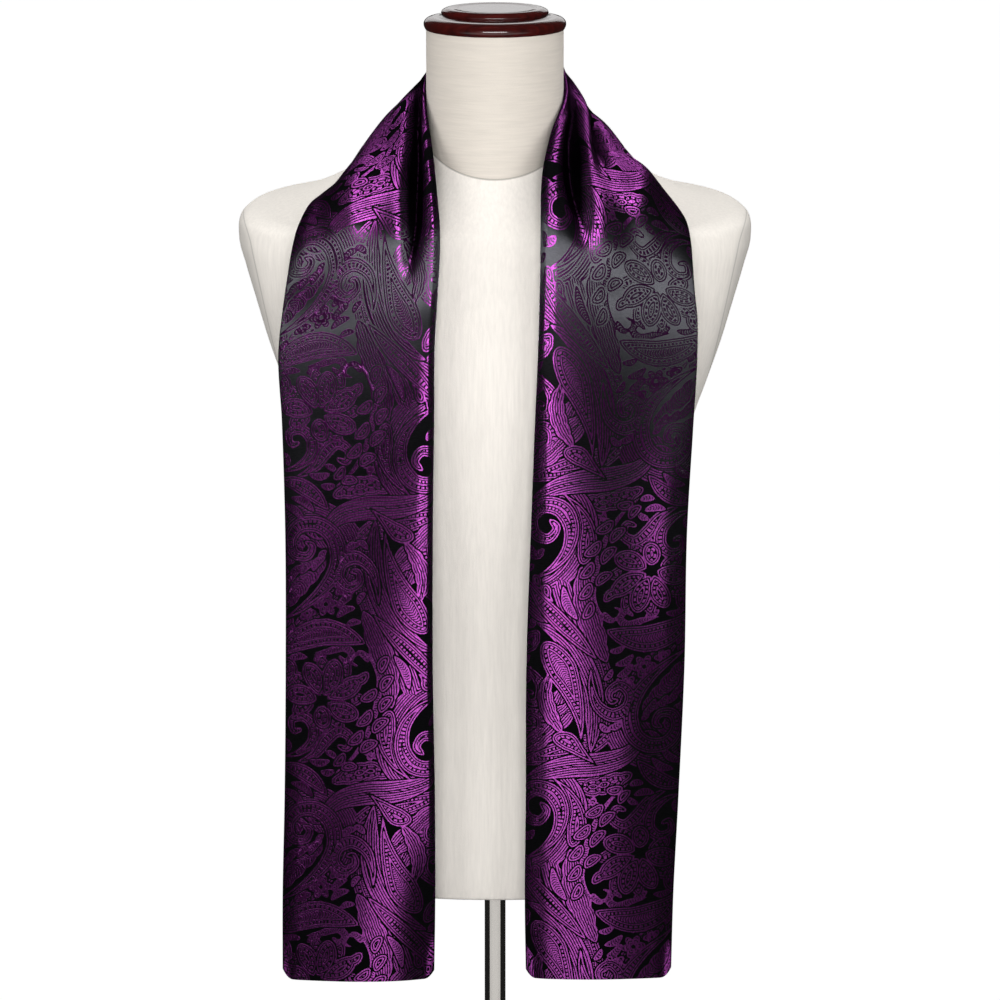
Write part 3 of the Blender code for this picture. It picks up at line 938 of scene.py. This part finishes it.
# The turn of the threads that make the sheen: along the strip, and across it.
GROUND_TURN, FIGURE_TURN = 0.0, 0.25
# How far the painted shade in deep gathers darkens the silk's colours towards black.
PAINTED_SHADE_STRENGTH = 0.985
# How strongly the figure stands out of the ground, and by how many metres.
FIGURE_RELIEF, FIGURE_HEIGHT = 0.35, 0.00025
FIGURE = (0.54, 0.10, 0.53, 1)
GROUND = (0.105, 0.105, 0.118, 1)


def ribbon_layer(nodes, layer):
    """(cover, thread) of one layer: 1 inside its ribbons, and 1 where figure shows."""
    field = nodes.add("ShaderNodeAttribute", attribute_name=f"ribbon_{layer}")
    split = nodes.add("ShaderNodeSeparateXYZ")
    nodes.put(split.inputs[0], field.outputs["Vector"])
    distance, half, arc = split.outputs
    way = nodes.add("ShaderNodeAttribute", attribute_name=f"weave_{layer}").outputs["Fac"]
    inside = nodes.math("SUBTRACT", half, distance)
    cover = nodes.math("GREATER_THAN", inside, -HALO)
    body = nodes.math("GREATER_THAN", inside, 0.0)
    edge = nodes.math("MULTIPLY", body, nodes.math("LESS_THAN", inside, EDGE))
    slant = nodes.math("MULTIPLY_ADD", distance, HATCH_SLANT, arc)
    hatch = nodes.repeat(slant, HATCH_PITCH, HATCH_SHARE)
    starts = [(start / RING_SPAN, what) for start, what in RING_STARTS]
    rings = nodes.add("ShaderNodeSeparateColor")
    ringed = nodes.ramp(nodes.math("DIVIDE", inside, RING_SPAN), starts, smooth=False)
    nodes.put(rings.inputs[0], ringed)
    beads = nodes.repeat(arc, BEAD_PITCH, BEAD_SHARE)
    nested = nodes.math("MULTIPLY_ADD", rings.outputs[1], beads, rings.outputs[0])
    nested = nodes.math("MULTIPLY_ADD", rings.outputs[2], hatch, nested)
    lines = nodes.repeat(nodes.math("ADD", distance, LINE_SHIFT), LINE_PITCH, LINE_SHARE)
    fill = nodes.mix(nodes.math("GREATER_THAN", way, 0.5), nested, lines)
    fill = nodes.mix(nodes.math("GREATER_THAN", way, 1.5), fill, hatch)
    thread = nodes.math("MAXIMUM", edge, nodes.math("MULTIPLY", fill, body))
    return cover, thread


def silk_material():
    made, nodes, surface = new_material("paisley_silk")
    thread = None
    for layer in reversed(LAYERS):
        cover, here = ribbon_layer(nodes, layer)
        thread = nodes.math("MULTIPLY", cover, here) if thread is None else nodes.mix(
            cover, thread, here
        )
    weave = nodes.add("ShaderNodeUVMap", uv_map="weave").outputs[0]
    flecks = nodes.noise(nodes.stretch(weave, (900.0, 300.0, 1.0)), 1.0, 1.0)
    slubs = nodes.noise(nodes.stretch(weave, (260.0, 1100.0, 1.0)), 1.0, 1.0)
    figure_color = nodes.mix(
        nodes.ramp(flecks, [(0.36, 0.0), (0.62, 1.0)]),
        (FIGURE[0] * 0.55, FIGURE[1] * 0.5, FIGURE[2] * 0.6, 1),
        FIGURE,
        "RGBA",
    )
    ground_color = nodes.mix(
        nodes.ramp(slubs, [(0.35, 0.0), (0.65, 1.0)]),
        tuple(0.8 * c for c in GROUND[:3]) + (1,),
        GROUND,
        "RGBA",
    )
    # Painted shade: the colours in deep gathers are darkened towards black, standing in for the shade in
    # the folds.
    painted_crease_shade = nodes.add("ShaderNodeAttribute", attribute_name="painted_crease_shade").outputs["Fac"]
    painted_crease_shade = nodes.math("MULTIPLY", painted_crease_shade, PAINTED_SHADE_STRENGTH)
    figure_color = nodes.mix(painted_crease_shade, figure_color, (0.01, 0.002, 0.01, 1), "RGBA")
    ground_color = nodes.mix(painted_crease_shade, ground_color, (0.01, 0.01, 0.012, 1), "RGBA")
    bump = nodes.bump(thread, FIGURE_RELIEF, FIGURE_HEIGHT)
    tangent = nodes.add("ShaderNodeTangent", direction_type="UV_MAP", uv_map="weave")
    both = nodes.add("ShaderNodeMixShader")
    nodes.put(both.inputs[0], thread)
    for k, (color, turn) in enumerate(((ground_color, GROUND_TURN), (figure_color, FIGURE_TURN))):
        satin = principled(
            nodes,
            Base_Color=color,
            Roughness=SATIN_ROUGHNESS,
            Metallic=SATIN_METALLIC,
            Anisotropic=SATIN_ANISOTROPY,
            Anisotropic_Rotation=turn,
            Normal=bump,
            Tangent=tangent.outputs[0],
        )
        nodes.put(both.inputs[k + 1], satin)
    nodes.put(surface, both.outputs[0])
    return made


# Lines drawn on the form's cover, in metres: the neck seam's plane, and the edge of the
# plate that closes each armhole, at |x| = start + lean z + bend (z - bend height)^2.
# Beyond that edge the plate is painted darker: painted shade on its side face.
SEAM_HEIGHT, SEAM_SLOPE, SEAM_HALF = 1.4802, 0.45, 0.0006
PLATE_START, PLATE_LEAN, PLATE_BEND, PLATE_BEND_HEIGHT = -0.0725, 0.20, 10.0, 1.385
PLATE_LINE, PLATE_SOFTNESS, PLATE_FOOT = 0.0006, 120.0, 1.24
LINEN_RELIEF, LINEN_HEIGHT = 0.5, 0.0004


def shaded(color, share):
    return tuple(share * c for c in color) + (1,)


def linen_material(name, color, along):
    """Plain linen: a fine weave with long slubs that run up the cloth or round it."""
    made, nodes, surface = new_material(name)
    place = nodes.add("ShaderNodeTexCoord").outputs["Object"]
    split = nodes.add("ShaderNodeSeparateXYZ")
    nodes.put(split.inputs[0], place)
    side, depth, height = split.outputs
    fine, coarse = (2600.0, 700.0) if along else (700.0, 2600.0)
    threads = nodes.noise(nodes.stretch(place, (fine, fine, coarse)), 1.0, 2.0)
    cross = nodes.noise(nodes.stretch(place, (coarse, coarse, fine)), 1.0, 2.0)
    stretch = (420.0, 420.0, 28.0) if along else (30.0, 30.0, 520.0)
    slubs = nodes.noise(nodes.stretch(place, stretch), 1.0, 3.0, 0.6)
    cloudy = nodes.noise(place, 9.0, 3.0)
    shade = nodes.ramp(slubs, [(0.30, 0.0), (0.72, 1.0)])
    tone = nodes.mix(shade, shaded(color, 0.90), shaded(color, 1.0), "RGBA")
    cloud = nodes.math("MULTIPLY", nodes.ramp(cloudy, [(0.35, 0.0), (0.7, 1.0)]), 0.3)
    tone = nodes.mix(cloud, tone, shaded(color, 0.92), "RGBA")
    seam = nodes.math("SUBTRACT", nodes.math("MULTIPLY_ADD", depth, -SEAM_SLOPE, height), SEAM_HEIGHT)
    seam = nodes.math("LESS_THAN", nodes.math("ABSOLUTE", seam), SEAM_HALF)
    tone = nodes.mix(nodes.math("MULTIPLY", seam, 0.7), tone, shaded(color, 0.55), "RGBA")
    plate = nodes.math("MULTIPLY_ADD", height, -PLATE_LEAN, nodes.math("ABSOLUTE", side))
    plate = nodes.math("SUBTRACT", plate, PLATE_START)
    above = nodes.math("MAXIMUM", nodes.math("SUBTRACT", height, PLATE_BEND_HEIGHT), 0.0)
    bend = nodes.math("MULTIPLY", nodes.math("MULTIPLY", above, above), PLATE_BEND)
    below = nodes.math("MAXIMUM", nodes.math("MULTIPLY_ADD", height, -1.0, PLATE_FOOT), 0.0)
    plate = nodes.math("SUBTRACT", nodes.math("SUBTRACT", plate, bend), below)
    # Painted shade: past the plate's edge the cover's tone is painted darker, standing in for the shade
    # on the plate's side face.
    plate_painted_shade = nodes.math("MULTIPLY_ADD", plate, PLATE_SOFTNESS, 0.5, clamp=True)
    tone = nodes.mix(nodes.math("MULTIPLY", plate_painted_shade, 0.6), tone, shaded(color, 0.68), "RGBA")
    line = nodes.math("LESS_THAN", nodes.math("ABSOLUTE", plate), PLATE_LINE)
    tone = nodes.mix(nodes.math("MULTIPLY", line, 0.5), tone, shaded(color, 0.45), "RGBA")
    relief = nodes.math("MULTIPLY_ADD", threads, 0.5, nodes.math("MULTIPLY", cross, 0.4))
    relief = nodes.math("MULTIPLY_ADD", slubs, 0.8, relief)
    bump = nodes.bump(relief, LINEN_RELIEF, LINEN_HEIGHT)
    shader = principled(
        nodes,
        Base_Color=tone,
        Roughness=0.9,
        Specular_IOR_Level=0.2,
        Sheen_Weight=0.15,
        Normal=bump,
    )
    nodes.put(surface, shader)
    return made


def wood_material():
    made, nodes, surface = new_material("mahogany")
    place = nodes.add("ShaderNodeTexCoord").outputs["Object"]
    grain = nodes.noise(nodes.stretch(place, (40.0, 260.0, 120.0)), 1.0, 4.0, 0.6)
    color = nodes.ramp(grain, [(0.3, (0.016, 0.002, 0.002, 1)), (0.7, (0.060, 0.005, 0.004, 1))])
    shader = principled(
        nodes,
        Base_Color=color,
        Roughness=0.35,
        Specular_IOR_Level=0.2,
        Coat_Weight=1.0,
        Coat_Roughness=0.07,
    )
    nodes.put(surface, shader)
    return made


def steel_material(name, roughness, brushed):
    made, nodes, surface = new_material(name)
    place = nodes.add("ShaderNodeTexCoord").outputs["Object"]
    wear = nodes.noise(nodes.stretch(place, (60.0, 60.0, 900.0 if brushed else 20.0)), 1.0, 3.0)
    shader = principled(
        nodes,
        Base_Color=(0.70, 0.67, 0.63, 1),
        Metallic=0.75 if brushed else 1.0,
        Roughness=nodes.math("MULTIPLY_ADD", wear, 0.12, roughness),
    )
    nodes.put(surface, shader)
    return made


# ---- The scarf's three pieces ----

SILK = silk_material()
PATTERN_LAP = 2.0  # how far the pattern goes on round the outer fold
STRETCHES = (
    ("left_fall", "scarf_left_fall", None, SHOULDER_LEFT, BAKE_TWO_LENGTHS),
    ("neck_wrap", "scarf_neck", SHOULDER_LEFT, SHOULDER_RIGHT, BAKE_ONE_LENGTH),
    ("right_fall", "scarf_right_fall", SHOULDER_RIGHT, None, BAKE_TWO_LENGTHS),
)


def put_pattern(mesh, round_cloth, along):
    """The design's fields, as values on the mesh's points. The far third shows none."""
    x, y = round_cloth.ravel(), along.ravel() - TILE_START
    shown = x > -PATTERN_LAP
    for layer in LAYERS:
        fields = np.tile(np.array(OUTSIDE + (0.0,), np.float32)[:, None], (1, len(x)))
        fields[:, shown] = evaluate(x[shown], y[shown], layer)
        made = mesh.attributes.new(f"ribbon_{layer}", "FLOAT_VECTOR", "POINT")
        made.data.foreach_set("vector", np.ascontiguousarray(fields[:3].T).ravel())
        made = mesh.attributes.new(f"weave_{layer}", "FLOAT", "POINT")
        made.data.foreach_set("value", np.ascontiguousarray(fields[3]))


def add_stretch(name, node, start, end, bake_boxes):
    places, round_cloth, along, painted_crease_shade = fine_stretch(start, end)
    mesh, corners = grid_mesh(name, places)
    add_uv(mesh, "weave", corners, np.stack([round_cloth * MM, along * MM], axis=-1))
    add_bake_uv(mesh, round_cloth, along, bake_boxes)
    put_pattern(mesh, round_cloth, along)
    made = mesh.attributes.new("painted_crease_shade", "FLOAT", "POINT")
    made.data.foreach_set("value", painted_crease_shade.astype(np.float32).ravel())
    mesh.materials.append(SILK)
    piece = new_object(name, mesh)
    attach(piece, "root")
    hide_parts(node)
    return piece


cloth_pieces = [add_stretch(*stretch) for stretch in STRETCHES]

# ---- The form ----

NECK_LIFT = SEAM_GAP / math.cos(math.atan(NECK_RINGS[0].slope))
form_pieces = [
    add_form_piece(
        "fine_torso",
        fine_rings("fine_torso", TORSO_RINGS, 0.0),
        "form_torso",
        linen_material("chest_linen", (0.86, 0.815, 0.755), True),
    ),
    add_form_piece(
        "fine_neck",
        fine_rings("fine_neck", NECK_RINGS, NECK_LIFT),
        "form_neck",
        linen_material("neck_linen", (0.69, 0.635, 0.565), False),
    ),
    add_form_piece(
        "fine_cap",
        fine_cap("fine_cap", NECK_RINGS[-1].height + NECK_LIFT + SEAM_GAP),
        "form_neck_cap",
        wood_material(),
    ),
]
for node, look in (
    ("form_pole", steel_material("pole_steel", 0.10, False)),
    ("form_base", steel_material("base_steel", 0.28, True)),
):
    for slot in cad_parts[node].material_slots:
        slot.material = look
    form_pieces.append(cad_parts[node])
for piece in form_pieces:
    # the pale form would fill the silk's dark folds with its reflection
    piece.visible_glossy = False

# ---- Floor, light and sky ----

floor_mesh = bpy.data.meshes.new("floor")
FLOOR_REACH = 60.0
floor_corners = [(x * FLOOR_REACH, y * FLOOR_REACH, 0) for x, y in ((-1, -1), (1, -1), (1, 1), (-1, 1))]
floor_mesh.from_pydata(floor_corners, [], [(0, 1, 2, 3)])
floor = new_object("floor", floor_mesh)
floor_look, floor_nodes, floor_surface = new_material("floor")
floor_shader = principled(
    floor_nodes, Base_Color=(0.8, 0.8, 0.8, 1), Roughness=0.9, Emission_Color=(1, 1, 1, 1),
    Emission_Strength=1.0,
)
floor_nodes.put(floor_surface, floor_shader)
floor_mesh.materials.append(floor_look)
floor.visible_diffuse = False
floor.visible_glossy = False

# Two soft boxes straight ahead make the silk's sheen, the nearer one on the collar, and one
# behind shows the back. They light the cloth only. The fills and cards light the form only,
# as flags beside the soft boxes would, so that the silk's far folds stay dark, and most
# fills make no highlight of their own on the cap. fill_front stays below the cap's top, so
# that no view from behind sees it mirrored there.
Lamp = namedtuple("Lamp", "name place aim width height power lights glossy")
LAMPS = rows_of(
    Lamp,
    ("sheen_front", (0.02, -2.7, 1.78), (0, -0.12, 1.42), 0.55, 1.25, 6.8, "cloth", True),
    ("sheen_collar", (0.0, -0.95, 1.70), (0, -0.09, 1.43), 0.38, 0.50, 6.0, "cloth", True),
    ("sheen_back", (0.0, 2.7, 0.75), (0, 0.10, 1.40), 0.90, 0.90, 13.0, "cloth", True),
    ("fill_front", (0.0, -2.6, 1.33), (0, 0, 1.3), 1.8, 0.44, 38.0, "form", True),
    ("fill_top", (0.0, 0.1, 3.2), (0, 0, 1.4), 2.0, 1.4, 33.0, "form", False),
    ("fill_left", (-2.2, -1.6, 1.7), (0, 0, 1.2), 1.6, 2.2, 37.0, "form", False),
    ("fill_right", (2.2, -1.6, 1.7), (0, 0, 1.2), 1.6, 2.2, 37.0, "form", False),
    ("fill_back", (0.0, 2.6, 1.0), (0, 0, 1.2), 2.2, 1.1, 52.0, "form", False),
    ("cap_card", (0.0, 2.6, 2.2), (0, 0, 1.5), 2.2, 0.9, 5.5, "form", True),
    ("floor_card", (0.0, -2.6, 0.02), (0, -2.5, 1.0), 6.0, 2.4, 36.0, "form", True),
)
form_parts = bpy.data.collections.new("form_parts")
for piece in form_pieces:
    form_parts.objects.link(piece)
cloth_parts = bpy.data.collections.new("cloth_parts")
for piece in cloth_pieces:
    cloth_parts.objects.link(piece)
LIT_PARTS = {"form": form_parts, "cloth": cloth_parts}
for lamp in LAMPS:
    light = bpy.data.lights.new(lamp.name, "AREA")
    light.shape = "RECTANGLE"
    light.size, light.size_y = lamp.width, lamp.height
    light.energy = lamp.power
    holder = new_object(lamp.name, light)
    holder.location = lamp.place
    direction = np.array(lamp.aim) - np.array(lamp.place)
    holder.rotation_euler = (
        math.atan2(math.hypot(direction[0], direction[1]), -direction[2]),
        0.0,
        math.atan2(direction[1], direction[0]) - math.pi / 2,
    )
    holder.visible_camera = False
    holder.visible_glossy = lamp.glossy
    holder.light_linking.receiver_collection = LIT_PARTS[lamp.lights]

# The background's strength for the camera, and for every other ray.
SKY_SEEN, SKY_FOR_OTHERS = 1.0, 0.015
world = bpy.data.worlds.new("studio")
world.use_nodes = True
bpy.context.scene.world = world
sky = Nodes(world.node_tree)
background = world.node_tree.nodes["Background"]
background.inputs["Color"].default_value = (1, 1, 1, 1)
seen = sky.add("ShaderNodeLightPath").outputs["Is Camera Ray"]
sky.put(background.inputs["Strength"], sky.mix(seen, SKY_FOR_OTHERS, SKY_SEEN))
bpy.context.scene.view_settings.view_transform = "Standard"
